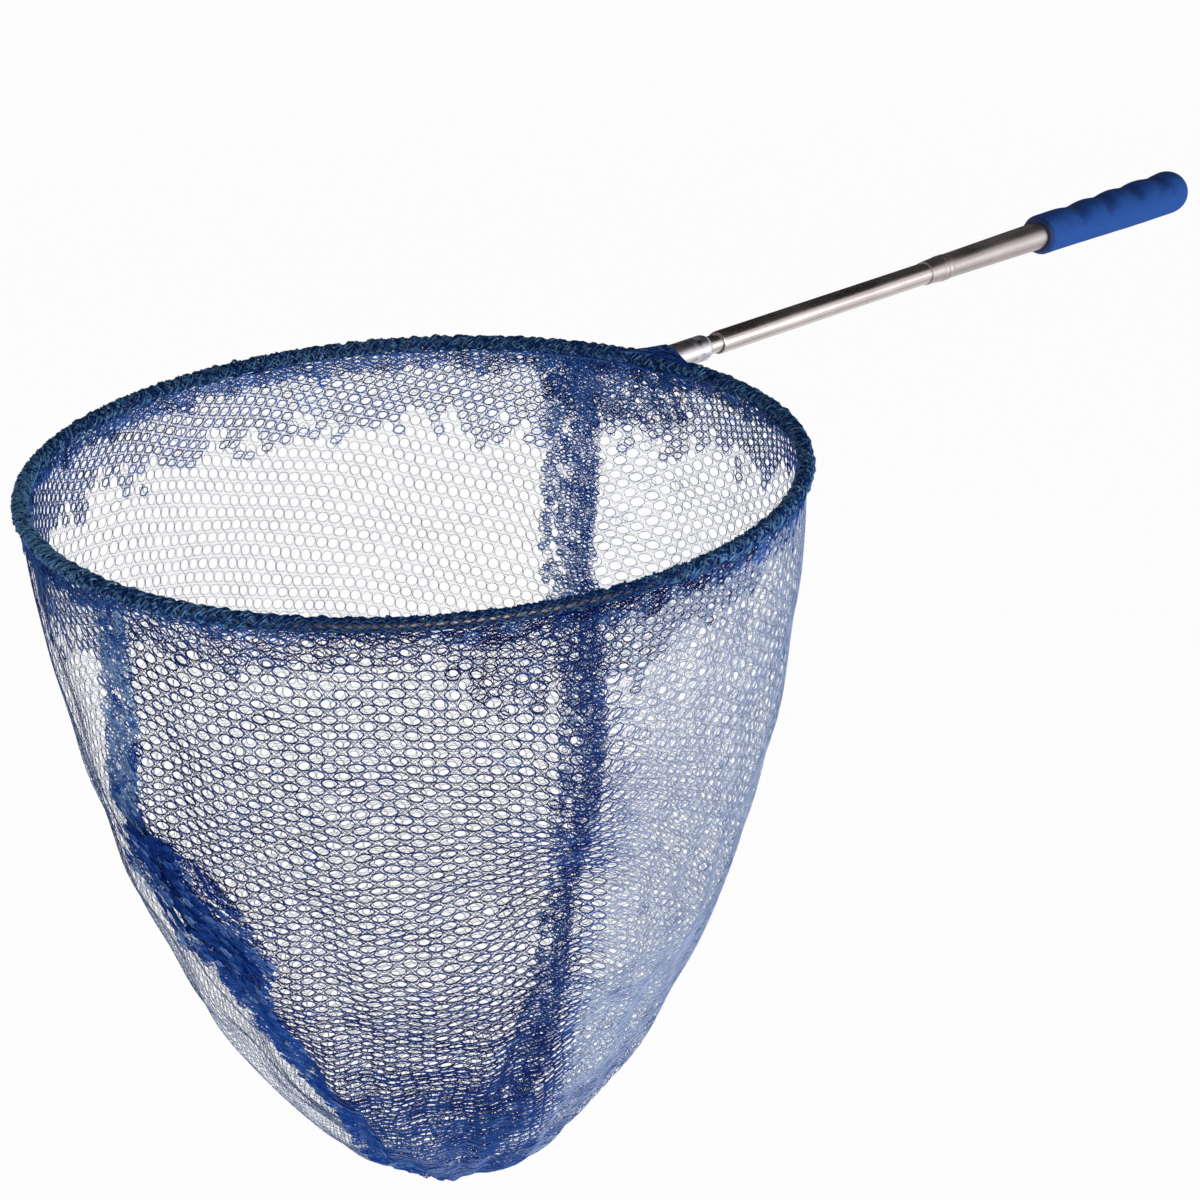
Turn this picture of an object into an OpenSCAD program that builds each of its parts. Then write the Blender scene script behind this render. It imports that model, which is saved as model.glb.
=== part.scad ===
// Telescopic landing net: a wire hoop with a knotless net bag on a three-stage steel handle.
// +X runs along the handle from the hoop to the butt, +Z is up, and the origin is the centre of the
// plain band of the grip. All sizes are in millimetres.

/* [Hoop] */
// Radius of the hoop to the middle of its wire
hoop_r = 180; // [140:1:240]
// Diameter of the hoop wire
wire_d = 3.6; // [2.6:0.1:5]
// Thickness of the net sleeve round the wire
sleeve_t = 1.8; // [1.2:0.1:3]
// Length of hoop that each end binding of the sleeve covers
lash_len = 12; // [6:1:25]
// Thickness of the end bindings
lash_t = 0.8; // [0.5:0.1:1.5]
// Angle by which the hoop droops from the line of the handle
hoop_droop = 4; // [0:0.5:8]
// Bend radius where the wire turns into the ferrule
wire_bend_r = 8; // [6:0.5:12]
// Clear space between the hoop's wire and the ferrule
throat_gap = 1.8; // [1.6:0.1:6]

/* [Bag] */
// Depth of the bag below the hoop's wire
bag_depth = 372; // [250:1:520]
// Fullness of the bag's outline, where 2 is an ellipse
bag_fullness = 1.7; // [1.4:0.05:2.4]
// Thickness that the soft net takes up
net_t = 2; // [1.5:0.1:4]
// Depth of the doubled hem inside the rim
hem_depth = 35; // [20:1:60]
// Thickness of the hem
hem_t = 1.2; // [0.8:0.1:2]
// Width of the seam band
seam_w = 24; // [14:1:40]
// Angle by which the seam is turned round the hoop, away from the handle's line
seam_turn = 6; // [-15:1:15]

/* [Grip] */
// Length of the foam grip
grip_len = 149; // [142:1:200]
// Thickness of the foam at its mouth
foam_mouth_t = 3.2; // [2.2:0.1:4.4]
// Thickness of the foam at the plain band, its thickest
foam_t = 4.5; // [3.6:0.1:8]
// Length of the grip's plain band
band_len = 12; // [8:1:20]
// Length of the rounded butt
dome_len = 12; // [11:1:16]
// Number of finger grooves
groove_count = 4; // [2:1:4]
// Distance between finger grooves
groove_pitch = 29; // [24:0.5:30]
// Depth of a finger groove
groove_depth = 1.7; // [0.8:0.1:2.2]
// Radius of the curve that a finger groove is cut with
groove_r = 18; // [12:1:22]
// Thickness of the collar at the grip's mouth
collar_t = 2; // [1.5:0.1:3]

/* [Tubes] */
// Outside diameter of the inner tube, which the others are sized round
inner_d = 9.4; // [7.5:0.1:14]
// Wall of every tube
tube_wall = 0.5; // [0.4:0.05:0.8]
// Space round the inner tube inside the middle tube, on the radius
inner_room = 0.7; // [0.4:0.05:1.2]
// Space round the middle tube behind the main tube's nose, on the radius
mid_room = 0.4; // [0.3:0.05:1]
// How much wider the main tube is at the grip than behind its beads
main_taper = 2; // [0:0.1:4]
// How much wider still the main tube is inside the grip
main_swell = 0.4; // [0.1:0.1:1]
// Running clearance between sliding pieces, on the radius
run_gap = 0.05; // [0.02:0.01:0.09]
// Play left at the stops
stop_gap = 0.3; // [0.2:0.05:1]
// Length of the necked lip at the main tube's nose
nose_len = 12; // [10:0.5:20]
// Length of the rolled lip at the middle tube's mouth
mouth_lip = 6; // [4:0.5:10]
// Height of the beads behind the nose
bead_h = 0.35; // [0.2:0.05:0.8]
// Width of one bead
bead_w = 3.2; // [2:0.1:4]
// Distance between the two beads
bead_pitch = 4; // [3.6:0.1:6]

/* [Friction bushes] */
// Length of a friction bush
bush_len = 14; // [10:0.5:18]
// Wall of the neck that a bush turns on
neck_step = 0.7; // [0.5:0.05:0.9]
// Thickness of the flange behind a bush
flange_t = 3; // [2:0.5:5]
// Length of a tail plug inside its tube
plug_len = 10; // [6:0.5:14]
// Slit between the two halves of a bush
bush_slit = 0.6; // [0.3:0.1:1.2]

/* [Extension] */
// Length of main tube in front of the grip
main_out = 113; // [100:1:140]
// Length of middle tube in front of the main tube
mid_out = 182; // [150:1:190]
// Length of inner tube in front of the middle tube
inner_out = 9.5; // [5:0.5:14]

/* [Ferrule] */
// Length of the ferrule
ferrule_len = 33; // [30:0.5:40]
// Thickness of the ferrule round the inner tube
ferrule_t = 1.9; // [1.6:0.1:3]
// Wall of the ferrule round the wire ends
ferrule_wall = 0.8; // [0.6:0.05:1]
// Depth of the socket for the wire ends
socket_len = 17; // [14:0.5:20]
// Depth of the crimp dents
crimp_depth = 0.9; // [0.5:0.1:1.2]

/* [Hidden] */
$fn = 96;
big = 1000;
press_gap = 0.02;
hair = 0.02;
wire_gap = 0.1;
hem_gap = 0.3;
bush_play = 0.1;
tail_gap = 0.6;
lash_foot = 0.5;

// diameters, each worked out from what fits inside it
mid_d = inner_d + 2 * (inner_room + tube_wall);
main_nose_d = mid_d + 2 * (mid_room + tube_wall);
main_mouth_d = main_nose_d + main_taper;
main_d = main_mouth_d + main_swell;
grip_mouth_d = main_d + 2 * foam_mouth_t;
grip_d = main_d + 2 * foam_t;
ferrule_d = inner_d + 2 * ferrule_t;

// places along the handle, from the butt to the hoop
mouth_x = band_len / 2 + dome_len - grip_len;
nose_x = mouth_x - main_out;
mid_x = nose_x - mid_out;
ferrule_end_x = mid_x - inner_out;
ferrule_x = ferrule_end_x - ferrule_len;
ferrule_gap = wire_d / 2 + throat_gap;
hoop_x = ferrule_x - ferrule_gap;

// the main tube, its plug and the bore of the foam
main_end_x = band_len / 2 + 2;
plug_cap_t = 2;
plug_depth = 14;
foam_end_x = main_end_x + plug_cap_t + 0.5;
bead_x = nose_x + nose_len + bead_w / 2 + 0.4;
seat_len = bush_len + flange_t + 3;
swell_len = 8;
band_fade = 20;
groove_inset = 9.5;

// the tails of the two sliding tubes
bush_room = bush_len + 2 * bush_play;
mid_end_x = nose_x + nose_len + stop_gap - bush_play;
inner_end_x = mid_end_x - plug_len - stop_gap - flange_t - bush_room - tail_gap;

// the bag hangs from the underside of the sleeve
wire_r = wire_d / 2;
sleeve_r = wire_r + wire_gap + sleeve_t;
bag_h = bag_depth - sleeve_r;
bag_steps = 16;

// the wire leaves the hoop where the bend touches both the ring and the straight leg
leg_y = wire_r + wire_gap;
bend_c = hoop_r + wire_bend_r;
leave_a = asin((leg_y + wire_bend_r) / bend_c);
leg_x = bend_c * cos(leave_a) - hoop_r;
leg_len = ferrule_gap + socket_len - 1 - leg_x;
sleeve_a = leave_a + 0.4;
lash_a = lash_len / hoop_r * 180 / PI;

// a solid turned round the handle's axis, from points of x and radius
module turned(points) {
    rotate([0, 90, 0]) rotate_extrude() polygon([for (p = points) [p[1], p[0]]]);
}

// a rod along the handle from x0 to x1
module rod(x0, x1, r) {
    translate([x0, 0, 0]) rotate([0, 90, 0]) cylinder(h = x1 - x0, r = r);
}

// the frame of the hoop: its plane is z = 0 and its middle is at x = -hoop_r
module in_hoop() {
    translate([hoop_x, 0, 0]) rotate([0, -hoop_droop, 0]) children();
}

// one finger groove across the top of the grip
module groove(x) {
    translate([x, 0, grip_d / 2 - groove_depth + groove_r])
        rotate([90, 0, 0]) cylinder(h = 2 * grip_d, r = groove_r, center = true);
}

// an outline from the band to the middle of the butt
function dome_points(n) = [for (i = [0 : n]) let (a = 90 * i / n)
    [band_len / 2 + dome_len * pow(sin(a), 0.8), grip_d / 2 * pow(cos(a), 0.8)]];

// the bag's outline, moved in by t, at angle a from the rim on one side to the rim on the other
function bag_point(t, a) = let (c = cos(a))
    [sign(c) * (hoop_r - t) * pow(abs(c), 2 / bag_fullness), -(bag_h - t) * pow(sin(a), 2 / bag_fullness)];
// a skin of thickness t, moved in by inset, out to angle end
function bag_skin(inset, t, end) = let (steps = bag_steps * end / 90) concat(
    [for (i = [0 : steps]) bag_point(inset, end * i / steps)],
    [for (i = [steps : -1 : 0]) bag_point(inset + t, end * i / steps)]);

// the frame of the bag: its middle is under the hoop's, and the seam lies in its plane y = 0
module bag_frame() {
    in_hoop() translate([-hoop_r, 0, -sleeve_r]) rotate([0, 0, seam_turn]) children();
}

module half_panel(side) {
    bag_frame() difference() {
        rotate([0, 0, side > 0 ? 0 : 180]) rotate_extrude(angle = 180) polygon(bag_skin(0, net_t, 90));
        cube([big, seam_w, big], center = true);
    }
}

// the wire, grown by g for the holes that take it; each length is a hair thinner than the one it ends inside
module wire_shape(g) {
    tuck_a = 3;
    in_hoop() {
        translate([-hoop_r, 0, 0]) rotate([0, 0, leave_a])
            rotate_extrude(angle = 360 - 2 * leave_a) translate([hoop_r, 0]) circle(r = wire_r + g);
        for (s = [-1, 1]) {
            translate([leg_x, s * (leg_y + wire_bend_r), 0]) rotate([0, 0, s > 0 ? 180 + leave_a - tuck_a : 90])
                rotate_extrude(angle = 90 - leave_a + tuck_a)
                    translate([wire_bend_r, 0]) circle(r = wire_r + g - hair);
            translate([leg_x - 0.4, s * leg_y, 0]) rotate([0, 90, 0])
                cylinder(h = leg_len + 0.4 + g, r = wire_r + g - 2 * hair);
        }
    }
}

// half of a split bush that fills the space between a tail's neck and the tube outside it
module half_bush(x, neck_r, bore_r, side) {
    difference() {
        rod(x, x + bush_len, bore_r - run_gap);
        rod(x - 1, x + bush_len + 1, neck_r + run_gap);
        translate([x - 1, side > 0 ? -big : -bush_slit / 2, -big / 2]) cube([bush_len + 2, big + bush_slit / 2, big]);
    }
}

// a tail plug: a spigot in the tube, a neck for the bush and a flange behind it
module tail(x, tube_r, neck_r, flange_r) {
    turned([[x - plug_len, 0], [x - plug_len, tube_r - tube_wall - press_gap], [x, tube_r - tube_wall - press_gap],
        [x, neck_r], [x + bush_room, neck_r], [x + bush_room, flange_r],
        [x + bush_room + flange_t, flange_r], [x + bush_room + flange_t, 0]]);
}

module foam_grip() {
    color("royalblue") difference() {
        turned(concat([[mouth_x, 0], [mouth_x, grip_mouth_d / 2 - 0.8], [mouth_x + 0.8, grip_mouth_d / 2],
            [-band_len / 2 - band_fade, grip_d / 2 - 0.15], [-band_len / 2, grip_d / 2]], dome_points(10)));
        rod(mouth_x - 1, foam_end_x, main_d / 2);
        for (i = [0 : groove_count - 1]) groove(-band_len / 2 - groove_inset - i * groove_pitch);
    }
}

module mouth_collar() {
    r = grip_mouth_d / 2 - 0.9;
    color([0.06, 0.06, 0.07]) difference() {
        turned([[mouth_x - collar_t, 0], [mouth_x - collar_t, r - 0.8], [mouth_x - collar_t + 0.8, r], [mouth_x, r],
            [mouth_x, 0]]);
        rod(mouth_x - collar_t - 1, mouth_x + 1, main_d / 2);
    }
}

module bead(x) {
    turned([for (i = [0 : 8]) let (a = 180 * i / 8)
        [x - bead_w / 2 * cos(a), main_nose_d / 2 - 0.05 + (bead_h + 0.05) * sin(a)]]);
}

module main_tube() {
    lip_r = mid_d / 2 + run_gap;
    nose_r = main_nose_d / 2;
    swell_x = mouth_x + swell_len;
    color("silver") union() {
        turned([[nose_x, lip_r], [nose_x, lip_r + tube_wall], [nose_x + 2, lip_r + tube_wall + 0.05],
            [nose_x + nose_len - 1, nose_r], [nose_x + nose_len + seat_len / 2, nose_r],
            [mouth_x - collar_t - 1, main_mouth_d / 2], [swell_x, main_d / 2 - press_gap],
            [main_end_x, main_d / 2 - press_gap], [main_end_x, main_d / 2 - tube_wall],
            [swell_x, main_d / 2 - tube_wall], [mouth_x - collar_t - 1, main_mouth_d / 2 - tube_wall],
            [nose_x + nose_len + seat_len, nose_r - tube_wall], [nose_x + nose_len, nose_r - tube_wall],
            [nose_x + nose_len, lip_r]]);
        for (i = [0, 1]) bead(bead_x + i * bead_pitch);
    }
}

module butt_plug() {
    color([0.12, 0.12, 0.13]) {
        rod(main_end_x, main_end_x + plug_cap_t, main_d / 2 - press_gap);
        rod(main_end_x - plug_depth, main_end_x, main_d / 2 - tube_wall - press_gap);
    }
}

module mid_bush(side) {
    half_bush(mid_end_x + bush_play, mid_d / 2 - neck_step, main_nose_d / 2 - tube_wall, side);
}

module mid_bush_left() {
    color("goldenrod") mid_bush(1);
}

module mid_bush_right() {
    color("goldenrod") mid_bush(-1);
}

module mid_tube() {
    lip_r = inner_d / 2 + run_gap;
    color("lightgray") turned([[mid_x, lip_r + 0.2], [mid_x, mid_d / 2 - 0.4], [mid_x + 0.4, mid_d / 2],
        [mid_end_x, mid_d / 2], [mid_end_x, mid_d / 2 - tube_wall], [mid_x + mouth_lip, mid_d / 2 - tube_wall],
        [mid_x + mouth_lip, lip_r], [mid_x + 0.2, lip_r]]);
}

module mid_tail() {
    color([0.15, 0.15, 0.16]) tail(mid_end_x, mid_d / 2, mid_d / 2 - neck_step, main_nose_d / 2 - tube_wall - 0.3);
}

module inner_bush(side) {
    half_bush(inner_end_x + bush_play, inner_d / 2 - neck_step, mid_d / 2 - tube_wall, side);
}

module inner_bush_left() {
    color("goldenrod") inner_bush(1);
}

module inner_bush_right() {
    color("goldenrod") inner_bush(-1);
}

module inner_tube() {
    x = ferrule_x + socket_len + 0.5;
    color("gainsboro") turned([[x, inner_d / 2 - tube_wall], [x, inner_d / 2], [inner_end_x, inner_d / 2],
        [inner_end_x, inner_d / 2 - tube_wall]]);
}

module inner_tail() {
    color([0.15, 0.15, 0.16]) tail(inner_end_x, inner_d / 2, inner_d / 2 - neck_step, mid_d / 2 - tube_wall - 0.3);
}

// a dent that the crimping tool leaves across the ferrule
module crimp(a) {
    rotate([a, 0, 0]) translate([ferrule_x + socket_len + 7, 0, ferrule_d / 2 - crimp_depth + 3])
        rotate([90, 0, 0]) cylinder(h = 2 * ferrule_d, r = 3, center = true);
}

module ferrule() {
    r = ferrule_d / 2;
    bore_r = inner_d / 2 + press_gap;
    color([0.8, 0.8, 0.82]) difference() {
        turned([[ferrule_x, r - ferrule_wall], [ferrule_x, r - 0.2], [ferrule_x + 0.2, r], [ferrule_end_x - 3, r],
            [ferrule_end_x - 1.6, r - 0.4], [ferrule_end_x - 0.4, r - 1.2], [ferrule_end_x, bore_r + 0.4],
            [ferrule_end_x, bore_r], [ferrule_x + socket_len, bore_r],
            [ferrule_x + socket_len, r - ferrule_wall]]);
        for (a = [0, 120, 240]) crimp(a);
    }
}

module wire_core() {
    color([0.55, 0.56, 0.58]) difference() {
        rod(ferrule_x + 5, ferrule_x + socket_len, ferrule_d / 2 - ferrule_wall - press_gap);
        wire_shape(press_gap);
    }
}

module hoop_wire() {
    color([0.6, 0.58, 0.55]) wire_shape(0);
}

module rim_sleeve() {
    color([0.06, 0.31, 0.54]) in_hoop() translate([-hoop_r, 0, 0]) rotate([0, 0, sleeve_a])
        rotate_extrude(angle = 360 - 2 * sleeve_a) translate([hoop_r, 0]) difference() {
            circle(r = sleeve_r);
            circle(r = wire_r + wire_gap);
        }
}

module rim_hem() {
    color([0.12, 0.28, 0.6]) bag_frame() intersection() {
        rotate_extrude() polygon(bag_skin(net_t + hem_gap, hem_t, 90));
        translate([0, 0, -hem_depth / 2 - hem_gap]) cube([big, big, hem_depth], center = true);
    }
}

// the two bindings that hold the ends of the sleeve beside the ferrule, each open below where the bag joins
module lashing() {
    color([0.05, 0.25, 0.5]) in_hoop() translate([-hoop_r, 0, 0]) for (a = [sleeve_a + 0.3, -sleeve_a - 0.3 - lash_a])
        rotate([0, 0, a]) rotate_extrude(angle = lash_a) translate([hoop_r, 0]) difference() {
            circle(r = sleeve_r + lash_t);
            circle(r = sleeve_r);
            translate([-big / 2, -big - sleeve_r + lash_foot]) square(big);
        }
}

module left_panel() {
    color([0.17, 0.19, 0.38]) half_panel(1);
}

module right_panel() {
    color([0.17, 0.19, 0.38]) half_panel(-1);
}

module seam_band() {
    color([0.04, 0.18, 0.44]) bag_frame() rotate([90, 0, 0])
        linear_extrude(height = seam_w, center = true) polygon(bag_skin(0, net_t, 180));
}

foam_grip();
mouth_collar();
main_tube();
butt_plug();
mid_bush_left();
mid_bush_right();
mid_tube();
mid_tail();
inner_bush_left();
inner_bush_right();
inner_tube();
inner_tail();
ferrule();
wire_core();
hoop_wire();
rim_sleeve();
rim_hem();
lashing();
left_panel();
right_panel();
seam_band();
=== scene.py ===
"""Looks of a telescopic landing net: its net bag, rim, foam grip and steel handle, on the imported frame."""
import math

import bpy
import numpy as np
from mathutils import Matrix, Vector


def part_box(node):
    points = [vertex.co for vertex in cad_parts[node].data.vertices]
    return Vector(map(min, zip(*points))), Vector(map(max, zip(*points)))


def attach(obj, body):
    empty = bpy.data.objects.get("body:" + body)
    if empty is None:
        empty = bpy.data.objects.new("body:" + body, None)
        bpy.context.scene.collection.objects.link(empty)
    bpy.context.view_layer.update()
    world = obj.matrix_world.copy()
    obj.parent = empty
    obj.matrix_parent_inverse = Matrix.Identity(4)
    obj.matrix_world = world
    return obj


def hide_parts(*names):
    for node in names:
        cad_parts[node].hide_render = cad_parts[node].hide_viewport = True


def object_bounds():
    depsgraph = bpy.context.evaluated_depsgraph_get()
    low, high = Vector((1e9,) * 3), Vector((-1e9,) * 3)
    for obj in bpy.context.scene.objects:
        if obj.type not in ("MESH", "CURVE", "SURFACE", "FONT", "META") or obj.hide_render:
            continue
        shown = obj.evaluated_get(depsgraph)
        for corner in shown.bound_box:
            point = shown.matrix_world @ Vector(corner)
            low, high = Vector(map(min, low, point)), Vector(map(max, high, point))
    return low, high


bl_info = {
    "name": "Landing Net",
    "version": (1, 0, 0),
    "blender": (4, 5, 0),
    "location": "3D View > Sidebar > Landing Net",
    "description": "Builds the net bag, rim, grip and metal finishes of a telescopic landing net",
    "category": "Add Mesh",
}

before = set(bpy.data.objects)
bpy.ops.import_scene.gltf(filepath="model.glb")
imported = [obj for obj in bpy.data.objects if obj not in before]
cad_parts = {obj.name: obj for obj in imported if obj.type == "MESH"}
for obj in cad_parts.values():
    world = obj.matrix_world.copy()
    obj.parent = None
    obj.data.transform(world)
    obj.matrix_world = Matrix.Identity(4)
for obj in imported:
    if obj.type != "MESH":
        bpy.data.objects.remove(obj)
CAD_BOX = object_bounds()
MM = 0.001


# ---------------------------------------------------------------- places, worked out from the frame

WIRE_R = 1.8 * MM
BAG_FULLNESS = 1.7

WIRE_LOW, WIRE_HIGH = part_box("hoop_wire")
HOOP_R = WIRE_HIGH.y - WIRE_R
DROOP = math.asin((-WIRE_LOW.z - WIRE_R) / (2 * HOOP_R))
SLEEVE_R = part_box("rim_sleeve")[1].y - HOOP_R

# the hoop's middle, and its three directions: towards the handle, across it and up out of its plane
HOOP_MID = np.array([WIRE_LOW.x + WIRE_R + HOOP_R * math.cos(DROOP), 0, -HOOP_R * math.sin(DROOP)])
TO_HANDLE = np.array([math.cos(DROOP), 0, math.sin(DROOP)])
ACROSS = np.array([0, 1, 0])
UPRIGHT = np.array([-math.sin(DROOP), 0, math.cos(DROOP)])

BAG_DEPTH = (HOOP_MID[2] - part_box("left_panel")[0].z) / math.cos(DROOP)

# the bag's outline from the rim to its lowest point: radius, depth and length along the net
_turns = np.linspace(0, math.pi / 2, 900)
BAG_RADII = HOOP_R * np.cos(_turns) ** (2 / BAG_FULLNESS)
BAG_DEPTHS = SLEEVE_R + (BAG_DEPTH - SLEEVE_R) * np.sin(_turns) ** (2 / BAG_FULLNESS)
BAG_RUN = np.concatenate([[0], np.cumsum(np.hypot(np.diff(BAG_RADII), np.diff(BAG_DEPTHS)))])
BAG_LENGTH = float(BAG_RUN[-1])
BAG_SLOPES = np.gradient(BAG_RADII, BAG_RUN)
BAG_FALLS = np.gradient(BAG_DEPTHS, BAG_RUN)


def smooth(x, low, high):
    """0 below low, 1 above high and a soft step between."""
    t = np.clip((np.asarray(x, float) - low) / (high - low), 0, 1)
    return t * t * (3 - 2 * t)


def ripple(x, y, size, seed, waves=5):
    """A smooth, repeatable unevenness of about -1 to 1, with hollows about size across."""
    rng = np.random.default_rng(seed)
    total = 0
    for _ in range(waves):
        angle, phase = rng.uniform(0, 2 * math.pi, 2)
        step = rng.uniform(0.7, 1.5) * 2 * math.pi / (2 * size)
        total = total + np.sin(step * (x * math.cos(angle) + y * math.sin(angle)) + phase)
    return total / math.sqrt(2 * waves) * 1.2


def even_ripple(theta, lumps, seed):
    """A repeatable unevenness of about -1 to 1 round the hoop that meets itself after a full turn."""
    rng = np.random.default_rng(seed)
    total = 0
    for _ in range(5):
        total = total + np.sin(round(lumps * rng.uniform(0.5, 1.5)) * theta + rng.uniform(0, 2 * math.pi))
    return total / 2.6


def radius_at(s):
    """Radius of the plain bag at a length s down from the rim."""
    return np.interp(s, BAG_RUN, BAG_RADII)


def turned(across, s, least_radius=9 * MM):
    """Angle round the bag of a distance across it; least_radius keeps it finite at the lowest point."""
    return across / np.maximum(radius_at(s), least_radius)


def rumple(theta, s):
    """How far the hanging cloth stands out of its plain outline."""
    hang = smooth(s, 0.01, 0.12) * (1 - 0.6 * smooth(s, 0.8 * BAG_LENGTH, BAG_LENGTH))
    x, y = np.sin(theta) * HOOP_R, np.cos(theta) * HOOP_R
    broad = ripple(x + 0.4 * s, y - 0.3 * s, 70 * MM, 3) * 2.6 * MM
    folds = ripple(theta * 0.12, s * 0.35, 16 * MM, 7) * 1.5 * MM
    return hang * (broad + folds)


def on_bag(theta, s, out=0.0):
    """Points and normals of the hanging net: theta round the hoop from the handle, s down from the rim."""
    radius, depth = radius_at(s), np.interp(s, BAG_RUN, BAG_DEPTHS)
    slope, fall = np.interp(s, BAG_RUN, BAG_SLOPES), np.interp(s, BAG_RUN, BAG_FALLS)
    out = out + rumple(theta, s)
    radial = np.cos(theta)[..., None] * TO_HANDLE + np.sin(theta)[..., None] * ACROSS
    normal = fall[..., None] * radial + slope[..., None] * UPRIGHT
    normal /= np.linalg.norm(normal, axis=-1, keepdims=True)
    points = HOOP_MID + radius[..., None] * radial - depth[..., None] * UPRIGHT + out[..., None] * normal
    return points, normal


def on_throat(turn, part, out=0.0):
    """Points on the net drawn over the ferrule's mouth: turn round it, and part of the way to the rim."""
    low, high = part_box("ferrule")
    spoke = np.stack([0 * turn, np.cos(turn), np.sin(turn)], -1)
    lip = np.array([low.x + 3 * MM, 0, 0]) + (high.z + 0.5 * MM + out) * spoke
    theta = math.radians(9) * np.cos(turn)[..., None]
    rim = HOOP_MID + (HOOP_R - 2 * MM) * (np.cos(theta) * TO_HANDLE + np.sin(theta) * ACROSS)
    rim = rim + (SLEEVE_R + 0.6 * MM + out) * np.sin(turn)[..., None] * UPRIGHT
    part = part[..., None]
    return lip + (rim - lip) * part, spoke


def handle_seam(s):
    """Angle round the hoop of the seam on the handle's side, which wanders as the net hangs."""
    lengths = np.array([0, 110, 156, 210, 280, 320, 360]) * MM
    return np.radians(np.interp(s, lengths, [17, 16.5, 12.5, 9.5, 8, 4.5, 1]))


def outer_seam(s):
    """Angle round the hoop of the seam away from the handle, which is caught up half way down."""
    lengths = np.array([0, 50, 90, 120, 145, 185, 220, 260, 300]) * MM
    return np.radians(np.interp(s, lengths, [176, 174, 170.5, 167, 171, 180, 182, 186, 191]))


# ---------------------------------------------------------------- sizes and colours

def linear(red, green, blue):
    """A colour in steps of 0 to 255 as the shader's linear values."""
    parts = (c / 255 for c in (red, green, blue))
    return tuple(c / 12.92 if c <= 0.04045 else ((c + 0.055) / 1.055) ** 2.4 for c in parts)


def size(name, millimetres, description, low=0.0):
    """A length that a user may change, with its default in millimetres."""
    return bpy.props.FloatProperty(name=name, default=millimetres * MM, min=low, unit="LENGTH",
                                   precision=5, description=description)


def colour(name, rgb, description):
    """A colour that a user may change, with its default in steps of 0 to 255."""
    return bpy.props.FloatVectorProperty(name=name, default=linear(*rgb), min=0, max=1, size=3,
                                         subtype="COLOR", description=description)


class NetBagLook(bpy.types.PropertyGroup):
    near_thread: size("Right thread", 0.3, "Radius of the thread round each hole of the right panel")
    near_knit: size("Right knit", 0.19, "Radius of the knitted thread between the right panel's holes")
    far_thread: size("Left thread", 0.12, "Radius of the thread round each hole of the left panel")
    far_knit: size("Left knit", 0.08, "Radius of the knitted thread between the left panel's holes")
    stretch: size("Stretch", 1.0, "How far the mesh is pulled out of its even rows")
    deep: colour("Deep", (20, 36, 104), "Colour of the net where it is darkest")
    middle: colour("Middle", (54, 96, 178), "Colour of the net half way to its palest")
    # pale is painted light: the right panel's lit side takes this colour, and the left panel turns towards it
    # near the outer seam
    pale: colour("Pale", (184, 202, 236), "Colour of the net where the light has faded it")


class RimLook(bpy.types.PropertyGroup):
    strand: size("Strand", 0.44, "Radius of the strands twisted round the wire")
    worn_strand: size("Worn strand", 0.07, "Radius of the strands where the wire shows through")
    pitch: size("Pitch", 20, "Length of one turn of a strand round the wire")
    lump: size("Lump", 5.5, "Distance between the lumps along the rim")
    strand_count: bpy.props.IntProperty(name="Strands", default=12, min=4, max=24,
                                        description="Number of strands twisted each way")
    net: colour("Net", (13, 52, 116), "Colour of the twisted net")
    # the edge colour is painted highlight: it lights scattered spots along the strands and the rim's top-left
    # side
    edge: colour("Worn edge", (114, 168, 220), "Colour of the net's worn high spots")
    wire: colour("Wire", (122, 112, 108), "Colour of the bare wire")


class HemLook(bpy.types.PropertyGroup):
    depth: size("Depth", 40, "Usual depth of the doubled net under the rim")
    thread: size("Thread", 0.36, "Radius of the hem's thread")
    casing: size("Casing", 9, "Depth of the dense casing under the rim")
    deep: colour("Deep", (8, 32, 104), "Darkest colour of the doubled net")
    bright: colour("Bright", (64, 114, 198), "Brightest colour of the doubled net")


class SeamLook(bpy.types.PropertyGroup):
    width: size("Width", 24, "Width of the seams' doubled net")
    thread: size("Thread", 0.33, "Radius of the seams' thread")
    deep: colour("Deep", (28, 82, 184), "Darkest colour of the doubled net")
    middle: colour("Middle", (68, 118, 206), "Usual colour of the doubled net")
    bright: colour("Bright", (156, 194, 244), "Brightest colour of the doubled net")


class GripLook(bpy.types.PropertyGroup):
    groove_depth: size("Groove depth", 1.2, "Depth of a finger groove")
    groove_width: size("Groove width", 8.5, "Half of the width of a finger groove")
    groove_spacing: size("Groove spacing", 29, "Distance between two finger grooves")
    foam: colour("Foam", (42, 92, 176), "Colour of the foam")
    # foam_dark is also the colour of the painted shade in the finger grooves and along the grip's top
    foam_dark: colour("Foam shade", (30, 74, 156), "Colour of the foam in its pores and hollows")


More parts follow.
